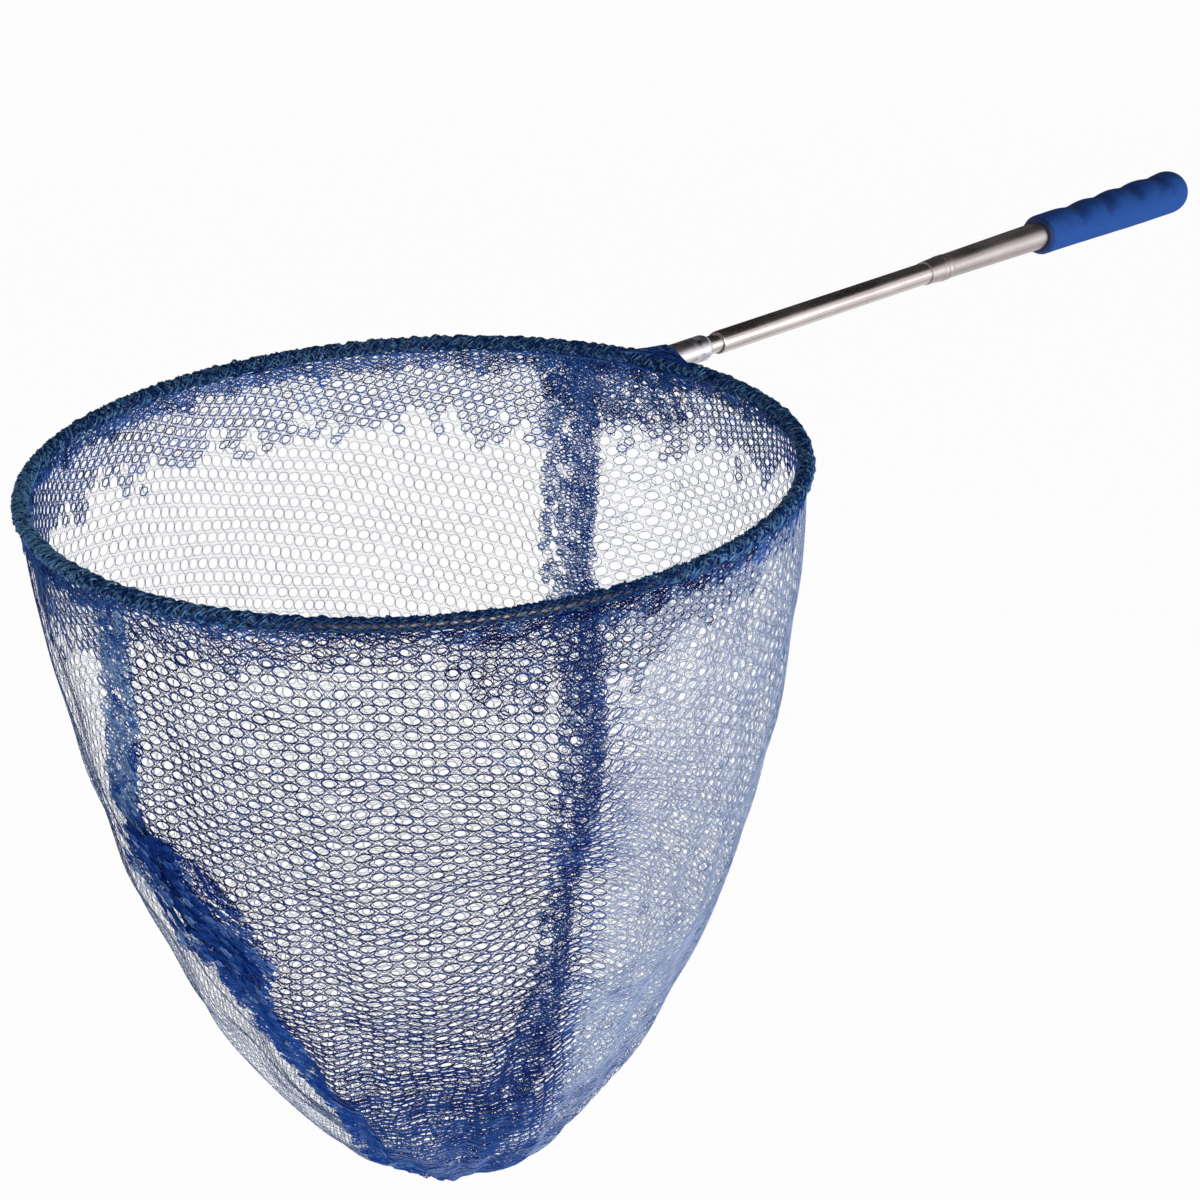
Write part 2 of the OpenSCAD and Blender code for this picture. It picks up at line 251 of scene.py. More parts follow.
class StageLook(bpy.types.PropertyGroup):
    floor_drop: bpy.props.FloatProperty(name="Floor", default=0.30, min=0, unit="LENGTH",
                                        description="Height of the net above the floor")
    key_power: bpy.props.FloatProperty(name="Key light", default=18, min=0, unit="POWER",
                                       description="Power of the large soft light beside the camera")
    fill_power: bpy.props.FloatProperty(name="Fill light", default=9, min=0, unit="POWER",
                                        description="Power of the soft light on the other side")
    sky: bpy.props.FloatProperty(name="Sky", default=0.68, min=0, max=1,
                                 description="Strength of the light from all around")
    azimuth: bpy.props.FloatProperty(name="Azimuth", default=math.radians(49.43), subtype="ANGLE",
                                     description="Camera's angle round the net, from across the handle")
    elevation: bpy.props.FloatProperty(name="Elevation", default=math.radians(22.93), subtype="ANGLE",
                                       description="Camera's angle above the hoop's plane")
    roll: bpy.props.FloatProperty(name="Roll", default=math.radians(-2.38), subtype="ANGLE",
                                  description="Tilt of the camera about its own line of sight")
    distance: bpy.props.FloatProperty(name="Distance", default=1.655, min=0.1, unit="LENGTH",
                                      description="Camera's distance in front of the hoop's middle")
    lens: bpy.props.FloatProperty(name="Lens", default=108, min=10, unit="CAMERA",
                                  description="Focal length on a sensor 36 mm wide")


LOOKS = {
    "net_bag_look": NetBagLook,
    "rim_look": RimLook,
    "hem_look": HemLook,
    "seam_look": SeamLook,
    "grip_look": GripLook,
    "stage_look": StageLook,
}


# ---------------------------------------------------------------- finishes

class Finish:
    """A node material round one Principled shader, with short ways to add to it."""

    def __init__(self, name, base, roughness, metallic=0.0):
        self.material = bpy.data.materials.new(name)
        self.material.use_nodes = True
        self.tree = self.material.node_tree
        self.shader = self.tree.nodes["Principled BSDF"]
        self.set(self.shader, "Base Color", (*base, 1))
        self.set(self.shader, "Roughness", roughness)
        self.set(self.shader, "Metallic", metallic)
        self.place = self.node("ShaderNodeTexCoord").outputs["Object"]

    def node(self, kind, **settings):
        made = self.tree.nodes.new(kind)
        for key, value in settings.items():
            setattr(made, key, value)
        return made

    def set(self, node, socket, value):
        node.inputs[socket].default_value = value

    def join(self, source, node, socket):
        self.tree.links.new(source, node.inputs[socket])

    def stretched(self, scale):
        """The place, with each axis scaled, so that a texture runs along the part."""
        mapping = self.node("ShaderNodeMapping")
        self.join(self.place, mapping, "Vector")
        self.set(mapping, "Scale", scale)
        return mapping.outputs["Vector"]

    def noise(self, scale, detail=4.0, place=None):
        made = self.node("ShaderNodeTexNoise")
        self.join(place or self.place, made, "Vector")
        self.set(made, "Scale", scale)
        self.set(made, "Detail", detail)
        return made.outputs["Fac"]

    def cells(self, scale):
        made = self.node("ShaderNodeTexVoronoi")
        self.join(self.place, made, "Vector")
        self.set(made, "Scale", scale)
        return made.outputs["Distance"]

    def attribute(self, name):
        return self.node("ShaderNodeAttribute", attribute_name=name).outputs["Fac"]

    def spread(self, value, low, high, to_low, to_high):
        made = self.node("ShaderNodeMapRange")
        self.join(value, made, "Value")
        for socket, number in zip(("From Min", "From Max", "To Min", "To Max"), (low, high, to_low, to_high)):
            self.set(made, socket, number)
        return made.outputs["Result"]

    def sum(self, first, second):
        made = self.node("ShaderNodeMath", operation="ADD")
        self.tree.links.new(first, made.inputs[0])
        self.tree.links.new(second, made.inputs[1])
        return made.outputs["Value"]

    def ramp(self, value, *stops):
        """Colours along a value, as (position, colour) stops."""
        made = self.node("ShaderNodeValToRGB")
        self.join(value, made, "Fac")
        band = made.color_ramp
        while len(band.elements) < len(stops):
            band.elements.new(1.0)
        for element, (position, rgb) in zip(band.elements, stops):
            element.position = position
            element.color = (*rgb, 1)
        return made.outputs["Color"]

    def paint(self, source):
        self.join(source, self.shader, "Base Color")

    def shine(self, source):
        self.join(source, self.shader, "Roughness")

    def bump(self, height, strength, distance):
        made = self.node("ShaderNodeBump")
        self.join(height, made, "Height")
        self.set(made, "Strength", strength)
        self.set(made, "Distance", distance)
        self.join(made.outputs["Normal"], self.shader, "Normal")


def shade(rgb, amount):
    """A colour made darker or lighter."""
    return tuple(c * amount for c in rgb)


def steel(name, base, roughness, streak):
    """Drawn and polished tube: fine lines along the tube and soft stains."""
    finish = Finish(name, base, roughness, metallic=1.0)
    lines = finish.noise(1.0, 6.0, finish.stretched((14, 2600, 2600)))
    stains = finish.noise(26, 5.0)
    mix = finish.sum(lines, stains)
    finish.paint(finish.ramp(finish.spread(mix, 0.7, 1.3, 0, 1),
                             (0.0, shade(base, 0.86)), (0.5, base), (1.0, shade(base, 1.1))))
    finish.shine(finish.spread(mix, 0.7, 1.35, roughness * 0.8, roughness * 1.35))
    finish.bump(lines, streak, 0.05 * MM)
    return finish.material


def bright_metal(name, base, roughness):
    """Soft bright metal that a tool has pressed: blotches, scratches and dulled patches."""
    finish = Finish(name, base, roughness, metallic=1.0)
    blotches = finish.noise(210, 5.0)
    scratches = finish.noise(1.0, 4.0, finish.stretched((420, 2200, 1500)))
    finish.paint(finish.ramp(blotches, (0.3, shade(base, 0.75)), (0.55, base), (0.75, shade(base, 1.12))))
    finish.shine(finish.spread(blotches, 0.3, 0.75, roughness * 0.7, roughness * 1.5))
    finish.bump(finish.sum(blotches, scratches), 0.25, 0.12 * MM)
    return finish.material


def moulded(name, base, roughness):
    """Moulded or turned trim with a fine grain."""
    finish = Finish(name, base, roughness)
    grain = finish.noise(2600, 3.0)
    rub = finish.noise(120, 4.0)
    finish.paint(finish.ramp(rub, (0.35, shade(base, 0.8)), (0.7, shade(base, 1.5))))
    finish.shine(finish.spread(rub, 0.3, 0.7, roughness * 0.85, roughness * 1.2))
    finish.bump(grain, 0.2, 0.05 * MM)
    return finish.material


def brushed_strip(name, base):
    """Sprung metal strip with rubbed lines round it."""
    finish = Finish(name, base, 0.3, metallic=1.0)
    lines = finish.noise(1.0, 5.0, finish.stretched((2400, 30, 30)))
    finish.paint(finish.ramp(lines, (0.3, shade(base, 0.8)), (0.7, shade(base, 1.1))))
    finish.shine(finish.spread(lines, 0.3, 0.7, 0.22, 0.42))
    finish.bump(lines, 0.3, 0.04 * MM)
    return finish.material


def foam(name, base, dark):
    """Closed-cell foam: a matt skin with fine pores and a soft mottle, with painted shade where the tint
    attribute marks the grip's grooves and top.
    """
    finish = Finish(name, base, 0.82)
    finish.set(finish.shader, "Specular IOR Level", 0.2)
    pores = finish.cells(1500)
    mottle = finish.spread(finish.noise(150, 6.0), 0, 1, 0.2, 0.8)
    grain = finish.sum(finish.spread(pores, 0.0, 0.5, -0.1, 0.06), mottle)
    # the tint attribute adds painted shade, darkening the foam towards its shade colour in the grooves and on
    # top
    grain = finish.sum(grain, finish.spread(finish.attribute("tint"), 0, 1, 0, -0.38))
    finish.paint(finish.ramp(grain, (0.0, shade(dark, 0.4)), (0.3, dark), (0.5, base),
                             (0.85, shade(base, 1.1))))
    finish.shine(finish.spread(mottle, 0.3, 0.7, 0.72, 0.92))
    skin = finish.spread(finish.noise(700), 0, 1, 0, 0.6)
    finish.bump(finish.sum(finish.spread(pores, 0.0, 0.4, 0, 1), skin), 0.22, 0.12 * MM)
    return finish.material


def net_thread(name, *colours):
    """Twisted thread: its colour follows the tint of each thread, with fibres lighter on the high spots."""
    finish = Finish(name, colours[0], 0.6)
    finish.set(finish.shader, "Specular IOR Level", 0.1)
    fibres = finish.noise(1600, 3.0)
    patches = finish.noise(38, 4.0)
    value = finish.sum(finish.attribute("tint"), finish.spread(fibres, 0.3, 0.7, -0.12, 0.12))
    value = finish.sum(value, finish.spread(patches, 0.3, 0.7, -0.08, 0.08))
    stops = [(i / (len(colours) - 1), rgb) for i, rgb in enumerate(colours)]
    finish.paint(finish.ramp(value, *stops))
    finish.shine(finish.spread(fibres, 0.3, 0.7, 0.5, 0.75))
    finish.bump(fibres, 0.5, 0.08 * MM)
    return finish.material


def paint_node(node, material):
    """Gives a CAD node a finish, without touching its mesh."""
    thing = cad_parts[node]
    for slot in thing.material_slots:
        slot.link = "OBJECT"
        slot.material = material


# ---------------------------------------------------------------- meshes of thread

def make_object(name, points, faces, maps=None, tint=None):
    """A smooth mesh object from points and faces of equal length, with an optional map and tint."""
    mesh = bpy.data.meshes.new(name)
    corners = np.concatenate([f.ravel() for f in faces])
    lengths = np.concatenate([np.full(len(f), f.shape[1]) for f in faces])
    starts = np.concatenate([[0], np.cumsum(lengths)[:-1]])
    mesh.vertices.add(len(points))
    mesh.vertices.foreach_set("co", points.astype(np.float32).ravel())
    mesh.loops.add(len(corners))
    mesh.loops.foreach_set("vertex_index", corners.astype(np.int32))
    mesh.polygons.add(len(lengths))
    mesh.polygons.foreach_set("loop_start", starts.astype(np.int32))
    mesh.polygons.foreach_set("loop_total", lengths.astype(np.int32))
    mesh.polygons.foreach_set("use_smooth", np.ones(len(lengths), bool))
    if maps is not None:
        layer = mesh.uv_layers.new(name="OFBake")
        layer.data.foreach_set("uv", maps[corners].astype(np.float32).ravel())
    if tint is not None:
        layer = mesh.attributes.new("tint", "FLOAT", "POINT")
        layer.data.foreach_set("value", tint.astype(np.float32).ravel())
    mesh.update(calc_edges=True)
    mesh.validate()
    thing = bpy.data.objects.new(name, mesh)
    bpy.context.scene.collection.objects.link(thing)
    return thing


def unit(vectors):
    """The vectors at a length of 1."""
    return vectors / np.maximum(np.linalg.norm(vectors, axis=-1, keepdims=True), 1e-12)


def thread_parts(points, normals, radius, closed, sides=3):
    """Vertices and faces of many threads at once; points and normals are threads by steps by 3."""
    count, steps = points.shape[:2]
    if closed:
        along = np.roll(points, -1, 1) - np.roll(points, 1, 1)
    else:
        along = np.gradient(points, axis=1)
    along = unit(along)
    side = unit(np.cross(along, normals))
    lift = np.cross(side, along)
    radius = np.broadcast_to(radius, (count, steps))
    turns = np.arange(sides) * 2 * math.pi / sides + math.pi / 2
    ring = (np.cos(turns)[:, None] * side[:, :, None, :] + np.sin(turns)[:, None] * lift[:, :, None, :])
    vertices = (points[:, :, None, :] + radius[:, :, None, None] * ring).reshape(-1, 3)
    index = np.arange(count * steps * sides).reshape(count, steps, sides)
    ahead, beside = np.roll(index, -1, 1), np.roll(index, -1, 2)
    both = np.roll(ahead, -1, 2)
    quads = np.stack([index, ahead, both, beside], -1)
    if closed:
        return vertices, [quads.reshape(-1, 4)]
    quads = quads[:, :-1].reshape(-1, 4)
    caps = np.concatenate([index[:, 0], index[:, -1, ::-1]])
    return vertices, [quads, caps]


class Net:
    """Collects threads laid on the bag and makes one mesh object of them."""

    def __init__(self, name):
        self.name, self.points, self.faces, self.maps, self.tints, self.total = name, [], {}, [], [], 0

    def add(self, points, normals, radius, closed, theta, s, tint, sides=3):
        vertices, groups = thread_parts(points, normals, radius, closed, sides)
        for group in groups:
            self.faces.setdefault(group.shape[1], []).append(group + self.total)
        spots = np.stack([np.mod(theta / (2 * math.pi), 1) * 0.98 + 0.01, s / BAG_LENGTH * 0.96 + 0.02], -1)
        shift = np.arange(sides)[:, None] * np.array([[0.0004, 0.0003]])
        self.maps.append((spots[:, :, None, :] + shift).reshape(-1, 2))
        self.tints.append(np.repeat(np.broadcast_to(tint, points.shape[:2]).reshape(-1), sides))
        self.points.append(vertices)
        self.total += len(vertices)

    def make(self, material, body, slot, *replaced):
        faces = [np.concatenate(groups) for groups in self.faces.values()]
        thing = make_object(self.name, np.concatenate(self.points), faces,
                            np.concatenate(self.maps), np.concatenate(self.tints))
        thing.data.materials.append(material)
        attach(thing, body)
        if replaced:
            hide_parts(*replaced)
        return thing


# ---------------------------------------------------------------- mesh of the net

class Mesh:
    """The repeating pattern of a knotless net, given by the two steps from a hole to its neighbours."""

    def __init__(self, first, second, hole, tilt=0.0):
        self.first, self.second = np.array(first) * MM, np.array(second) * MM
        turn = np.array([[math.cos(tilt), -math.sin(tilt)], [math.sin(tilt), math.cos(tilt)]])
        self.first, self.second = turn @ self.first, turn @ self.second
        third = min(self.first + self.second, self.first - self.second, key=np.linalg.norm)
        near = np.array([k * v for v in (self.first, self.second, third) for k in (1, -1)])
        near = near[np.argsort(np.arctan2(near[:, 1], near[:, 0]))]
        self.corners = (near + np.roll(near, -1, 0)) / 3
        self.mids = np.roll(near, -1, 0) / 2
        self.hole = np.array(hole) * MM
        self.turn = turn

    def holes(self, low, high):
        """Centres of all holes between two corners of the flat net."""
        furthest = 2 * max(np.linalg.norm(low), np.linalg.norm(high))
        reach = int(furthest / min(map(np.linalg.norm, (self.first, self.second))))
        i, j = np.mgrid[-reach:reach + 1, -reach:reach + 1]
        spots = i.reshape(-1, 1) * self.first + j.reshape(-1, 1) * self.second
        return spots[((spots > low) & (spots < high)).all(1)]

    def cell_area(self):
        return abs(self.first[0] * self.second[1] - self.first[1] * self.second[0])

    def outline(self, steps=8, point=0.0):
        """The rounded edge of a hole, drawn out by point towards its two ends."""
        angle = np.arange(steps) * 2 * math.pi / steps
        drawn = 1 + point * np.abs(np.cos(angle)) ** 6
        level = np.stack([self.hole[0] * drawn * np.cos(angle), self.hole[1] * np.sin(angle)], -1)
        return level @ self.turn.T

    def edge_towards(self, spots):
        """The points of the hole's edge in the directions of spots."""
        local = spots @ self.turn
        return spots / np.linalg.norm(local / self.hole, axis=1, keepdims=True)

    def star(self, reach=0.96):
        """A knitted thread that runs out to the corners between holes and back to the hole's edge."""
        outer, inner = self.corners * reach, self.edge_towards(self.mids) * 1.08
        return np.stack([outer, inner], 1).reshape(-1, 2)

    def second_star(self, reach=0.94):
        """A knitted thread that runs out to the middles between holes and crosses the first one."""
        outer, inner = self.mids * reach, self.edge_towards(self.corners) * 1.12
        return np.stack([outer, np.roll(inner, -1, 0)], 1).reshape(-1, 2)


def lay_cells(net, shape, centres, place, radius, tint, out=0.0, jitter=None, surface=on_bag):
    """Lays one closed thread round each centre; place turns flat u, v into the two places on the surface."""
    scale = 1.0 if jitter is None else jitter[:, None, :]
    flat = centres[:, None, :] + shape[None] * scale
    theta, s = place(flat[..., 0], flat[..., 1])
    points, normals = surface(theta, s, out)
    net.add(points, normals, radius, True, theta, s, tint)


def stretched(u, v, amount, seed):
    """The flat net pulled unevenly out of its rows."""
    pull_u = ripple(u, v, 34 * MM, seed) + 0.5 * ripple(u, v, 90 * MM, seed + 1)
    pull_v = ripple(u * 0.6, v, 22 * MM, seed + 2) + 0.8 * ripple(u, v, 80 * MM, seed + 3)
    return u + amount * pull_u, v + amount * pull_v


# ---------------------------------------------------------------- pieces

def look(context, name):
    """The sizes and colours of one group of pieces."""
    return getattr(context.scene, name)


def thread_area(shape, radius):
    """Flat area covered by closed threads of one shape, each of its own radius."""
    return float(np.linalg.norm(shape - np.roll(shape, -1, 0), axis=1).sum() * 2 * np.sum(radius))


def settled(v):
    """Length down the hanging net of a row v down the flat net, whose rows are drawn together lower down."""
    rows = np.linspace(0, 2 * BAG_LENGTH, 400)
    steps = 1 - 0.42 * smooth(rows, 0.14, 0.27)
    return np.interp(v, rows, np.concatenate([[0], np.cumsum(steps[:-1] * np.diff(rows))]))


def puckered(theta, s, spot, reach):
    """Draws the rows together where a stitch has caught the net, at spot, an angle and a length."""
    across = (theta - spot[0]) * radius_at(s) / reach
    down = (s - spot[1]) / reach
    pull = 0.6 * np.exp(-np.abs(across) * 1.2) * np.exp(-(0.7 * down) ** 2)
    return spot[1] + (s - spot[1]) * (1 - pull)


def build_panel(name, mesh, middle, limits, material, threads, bands, looks, seed, widen=0.0, lean=0.0,
                caught=None):
    """One side of the bag between its two seams, knitted in bands of net from the rim down.

    Lean tilts the lower rows, widen spreads the columns beyond the bag's quarter, and caught is the spot
    and reach of a stitch that draws the rows together.
    """
    rng = np.random.default_rng(seed)
    span = HOOP_R * 2.6
    lean_reach = 100 * MM
    closing_r = 4 * MM
    low, high = limits
    edge_thread, knit_thread, stretch, crossed, outline = threads

    def place(u, v):
        lower = smooth(v, 0.16, 0.36)
        u, v = stretched(u, v, stretch * (1 + 1.5 * lower), seed)
        s = settled(v - lean * lean_reach * np.tanh(u / lean_reach) * lower)
        u = u + widen * np.maximum(u - 0.7 * HOOP_R, 0)
        theta = middle + turned(u, s, closing_r)
        return theta, s if caught is None else puckered(theta, s, *caught)

    centres = mesh.holes((-span, 0), (span, 1.6 * BAG_LENGTH))
    theta, s = place(centres[:, 0], centres[:, 1])
    margin = turned(5 * MM, s, closing_r)
    first_row, last_row = 1 * MM, BAG_LENGTH - 5 * MM
    inside = (theta > low(s) + margin) & (theta < high(s) - margin) & (s > first_row) & (s < last_row)
    centres, theta, s = centres[inside], theta[inside], s[inside]
    centres = centres + rng.normal(0, 0.08 * MM, centres.shape)
    jitter = rng.normal(1, 0.035, centres.shape)
    tint, weight, doubled = looks(theta, s)
    tint = (tint + rng.normal(0, 0.10, len(centres)))[:, None]
    weight = (weight * (1 + 0.12 * rng.standard_normal(len(centres)).clip(-2, 2)))[:, None]
    doubled = rng.uniform(0, 1, len(centres)) < doubled
    cuts = np.quantile(s, np.linspace(0, 1, bands + 1))
    cuts[-1] += MM
    for band in range(bands):
        row = (s >= cuts[band]) & (s < cuts[band + 1])
        net = Net(f"{name}_{band + 1}")
        # each layer: shape, which holes, shift, thread radius, added tint and height in millimetres
        layers = [(outline, row, (0, 0), edge_thread, 0.0, 0.1),
                  (mesh.star(), row, (0, 0), knit_thread, 0.05, -0.1)]
        if crossed:
            layers.append((mesh.second_star(), row, (0, 0), knit_thread, 0.1, 0.15))
        layers.append((outline * 0.85, row & doubled, mesh.first * 0.5, edge_thread * 0.8, 0.1, -0.6))
        layers.append((mesh.star(), row & doubled, mesh.first * 0.5, knit_thread, 0.1, -0.7))
        covered = 0
        for shape, chosen, shift, thread, paler, out in layers:
            if chosen.any():
                lay_cells(net, shape, centres[chosen] + shift, place, thread * weight[chosen],
                          tint[chosen] + paler, out * MM, jitter[chosen])
                covered += thread_area(shape, thread * weight[chosen])
        made = net.make(material, "head", "bag_net", *([name] if band == 0 else []))
        length = float(cuts[band + 1] - cuts[band])
        row.sum() * mesh.cell_area() / length


class LANDINGNET_OT_bag(bpy.types.Operator):
    """Knit the two panels of the bag between its seams"""
    bl_idname = "landing_net.bag"
    bl_label = "Net Bag"

    def execute(self, context):
        bag = look(context, "net_bag_look")
        material = net_thread("NetThread", bag.deep, bag.middle, bag.pale)

        # the looks give each hole its tint, the weight of its thread and the chance that it is doubled
        def beside_seams(theta, s):
            lines = (outer_seam(s), handle_seam(s), handle_seam(s) + 2 * math.pi)
            gaps = [np.abs(theta - line) for line in lines]
            return 1 - smooth(np.minimum.reduce(gaps) * radius_at(s), 8 * MM, 16 * MM)

        def right_looks(theta, s):
            turn = np.degrees(theta)
            # side marks the right panel's lit side, whose tint rises towards pale as painted light
            side = smooth(turn, 246, 256)
            inner = smooth(turn, 294, 318)
            low = smooth(s, 0.24, 0.36)
            foot = smooth(s, 0.36, 0.41)
            tint = np.maximum(0.1 + 0.85 * side * (1 - 0.3 * low), 0.5 * low)
            tint = np.maximum(tint, 0.5 * beside_seams(theta, s))
            weight = (1 - 0.36 * side) * (1 - 0.25 * inner) * (1 + 0.35 * foot)
            return tint, weight, np.maximum(0.75 * side * (1 - 0.9 * inner), 0.9 * foot)

        def left_looks(theta, s):
            end = smooth(np.degrees(theta), 140, 160)
            foot = smooth(s, 0.32, 0.41)
            tint = 0.15 + np.maximum(0.35 * foot, 0.72 * end)
            tint = np.maximum(tint, 0.5 * beside_seams(theta, s))
            return tint, 1 + foot - 0.15 * end, 0.7 * foot

        right = Mesh((6.0, 3.95), (6.0, -3.95), (3.2, 2.35))
        right_threads = (bag.near_thread, bag.near_knit, bag.stretch, True, right.outline(10, 0.25))
        build_panel("right_panel", right, math.radians(225),
                    (outer_seam, lambda s: handle_seam(s) + 2 * math.pi), material, right_threads, 8,
                    right_looks, 11, lean=0.5, caught=((math.radians(246), 120 * MM), 48 * MM))
        left = Mesh((-5.6, 1.5), (3.3, 5.7), (2.8, 2.7))
        left_threads = (bag.far_thread, bag.far_knit, bag.stretch * 0.8, False, left.outline(8))
        build_panel("left_panel", left, math.radians(55), (handle_seam, outer_seam), material,
                    left_threads, 4, left_looks, 23, widen=0.35)
        return {"FINISHED"}


def seam_strip(name, line, material, seam, seed, widths, kept_at, tint_at):
    """Three layers of dense net along one seam.

    Widths are parts of the seam's width from the rim down, kept_at gives the share of holes that are laid
    and tint_at their tint, both at a place across and down the seam.
    """
    rng = np.random.default_rng(seed)
    net = Net(name)
    half = seam.width / 2
    seam_end = BAG_LENGTH - 4.2 * MM
    covered = 0
    for layer, (out, tilt) in enumerate(((0.8, 0.3), (0.0, 0.0), (-0.8, -0.35))):
        mesh = Mesh((3.5, 2.2), (3.5, -2.2), (1.7, 1.15), tilt)
        centres = mesh.holes((-seam.width, 0), (seam.width, seam_end))
        edge = half * np.interp(centres[:, 1] / BAG_LENGTH, np.linspace(0, 1, len(widths)), widths)
        edge = edge * (1 + 0.14 * ripple(centres[:, 1], centres[:, 0] * 0, 9 * MM, seed + layer))
        kept = (np.abs(centres[:, 0]) < edge) & (rng.uniform(0, 1, len(edge)) < kept_at(*centres.T))
        centres = centres[kept]

        def place(u, v):
            u, v = stretched(u, v, 0.8 * MM, seed + 7 * layer)
            return line(v) + turned(u, v), v

        mottle = 0.2 * ripple(centres[:, 0], centres[:, 1] * 0.4, 9 * MM, seed)
        tint = (tint_at(*centres.T) + mottle + rng.normal(0, 0.25, len(centres)))[:, None]
        width = seam.thread * (1 + 0.25 * rng.standard_normal((len(centres), 1)).clip(-2, 2))
        wave = out * MM + 0.7 * MM * ripple(centres[:, :1], centres[:, 1:], 9 * MM, seed + 3 * layer)
        for shape, thread in ((mesh.outline(6, 0.2), width), (mesh.star(), width * 0.6)):
            lay_cells(net, shape, centres, place, thread, tint, wave, rng.normal(1, 0.12, centres.shape))
            covered += thread_area(shape, thread)
    made = net.make(material, "head", "seam_net", *(["seam_band"] if name == "handle_seam" else []))


class LANDINGNET_OT_seams(bpy.types.Operator):
    """Sew the doubled net along both seams"""
    bl_idname = "landing_net.seams"
    bl_label = "Seams"

    def execute(self, context):
        seam = look(context, "seam_look")
        material = net_thread("SeamThread", seam.deep, seam.middle, seam.bright)
        seam_strip("handle_seam", handle_seam, material, seam, 31,
                   (1.3, 1.3, 1.25, 1.1, 1.0, 0.65, 0.8, 1.0, 1.2),
                   lambda u, v: 0.9 - 0.32 * (u > 0), lambda u, v: 0.3 + 0.35 * smooth(u, 0, 9 * MM))
        seam_strip("outer_seam", outer_seam, material, seam, 41,
                   (0.65, 0.8, 1.0, 1.25, 1.2, 0.8, 0.8, 0.9, 1.0),
                   lambda u, v: 0.74 + 0.14 * smooth(v, 0.08, 0.14),
                   lambda u, v: 0.85 - 0.6 * smooth(v, 0.09, 0.15))
        return {"FINISHED"}


class LANDINGNET_OT_hem(bpy.types.Operator):
    """Double the net inside the rim and sew its casing"""
    bl_idname = "landing_net.hem"
    bl_label = "Hem"

    def execute(self, context):
        hem = look(context, "hem_look")
        material = net_thread("HemThread", hem.deep, hem.bright, shade(hem.bright, 1.5))
        rng = np.random.default_rng(53)
        around = 2 * math.pi * HOOP_R
        # how deep the doubled net hangs at each angle from the handle, in parts of its usual depth
        turns = (0, 25, 60, 90, 120, 150, 175, 190, 205, 225, 238, 250, 262, 285, 320, 345, 360)
        parts = (1.1, 1.0, 0.9, 0.85, 0.85, 1.0, 0.7, 0.55, 0.4, 0.45, 1.05, 1.0, 0.65, 0.45, 0.5, 0.8, 1.1)

        def place(u, v):
            u, v = stretched(u, v, 1.2 * MM, 61)
            return u / HOOP_R, np.maximum(v, 0)

        def doubled(net, mesh, depth, uneven, out, thread):
            centres = mesh.holes((0, -2 * MM), (around, depth * 2))
            ragged = depth * np.interp(np.degrees(centres[:, 0] / HOOP_R), turns, parts)
            ragged = ragged * (1 + uneven * ripple(centres[:, 0], centres[:, 0] * 0, 12 * MM, 5))
            centres = centres[centres[:, 1] < ragged * (0.75 + 0.5 * rng.uniform(0, 1, len(ragged)))]
            turn = np.degrees(centres[:, :1] / HOOP_R)
            front = smooth(turn, 196, 212) * (1 - smooth(turn, 262, 280))
            tint = 0.45 - 0.4 * front + 0.2 * ripple(centres[:, :1], centres[:, 1:], 9 * MM, 7)
            tint = tint + rng.normal(0, 0.15, tint.shape)
            covered = 0
            for shape, width in ((mesh.outline(8, 0.2), thread), (mesh.star(), thread * 0.6)):
                lay_cells(net, shape, centres, place, width, tint, out)
                covered += thread_area(shape, width) * len(centres)
            return len(centres) * mesh.cell_area(), covered

        net = Net("hem_net")
        loops = Mesh((5.2, 3.3), (5.2, -3.3), (2.7, 1.95), math.radians(14))
        whole, covered = doubled(net, loops, hem.depth, 0.2, -2.4 * MM, hem.thread)
        net.make(material, "head", "hem_net", "rim_hem")
        casing = Net("casing_net")
        totals = [doubled(casing, Mesh((4.4, 2.2), (4.4, -2.2), (2.1, 1.2), math.radians(12 * layer - 6)),
                          hem.casing, 0.3, (0.9 - 2.2 * layer) * MM, hem.thread) for layer in range(2)]
        whole, covered = np.sum(totals, axis=0).tolist()
        casing.make(material, "head", "hem_net")
        return {"FINISHED"}


def fold_patch(name, line, span, width, seed, thread, folds, lift, material, layers, *replaced):
    """A patch of net that has gathered into folds over a stretch of the bag."""
    rng = np.random.default_rng(seed)
    net = Net(name)
    low, high = span
    for layer in range(layers):
        mesh = Mesh((3.8, 2.4), (3.8, -2.4), (1.9, 1.25), 0.5 * layer)
        centres = mesh.holes((-width / 2, low), (width / 2, high))
        along = (centres[:, 1] - (low + high) / 2) * 2 / (high - low)
        ragged = 0.2 * ripple(centres[:, 0], centres[:, 1], 14 * MM, seed)
        edge = 0.85 + ragged + 0.2 * rng.uniform(0, 1, len(along))
        inside = (centres[:, 0] / (width / 2)) ** 2 + np.abs(along) ** 3 < edge
        loose = 0.3 * smooth(-centres[:, 0], 0, 0.4 * width)
        centres = centres[inside & (rng.uniform(0, 1, len(edge)) < 0.8 - loose)]

        def place(u, v):
            return line(v) + turned(u, v), np.maximum(v, 0)

        fold = ripple(centres[:, :1], centres[:, 1:] * 0.35, folds, seed + 5)
        out = lift * (0.5 + 0.6 * fold) + layer * 1.2 * MM
        # painted shade: the tint follows the fold, darker in its hollows and lighter on its ridges
        tint = 0.25 + 0.3 * fold + rng.normal(0, 0.28, fold.shape)
        for shape, part in ((mesh.outline(6, 0.2), 1.0), (mesh.star(), 0.65)):
            jitter = rng.normal(1, 0.15, centres.shape)
            lay_cells(net, shape, centres, place, thread * part, tint, out, jitter)
            covered += thread_area(shape, thread * part) * len(centres)
    net.make(material, "head", "thread", *replaced)


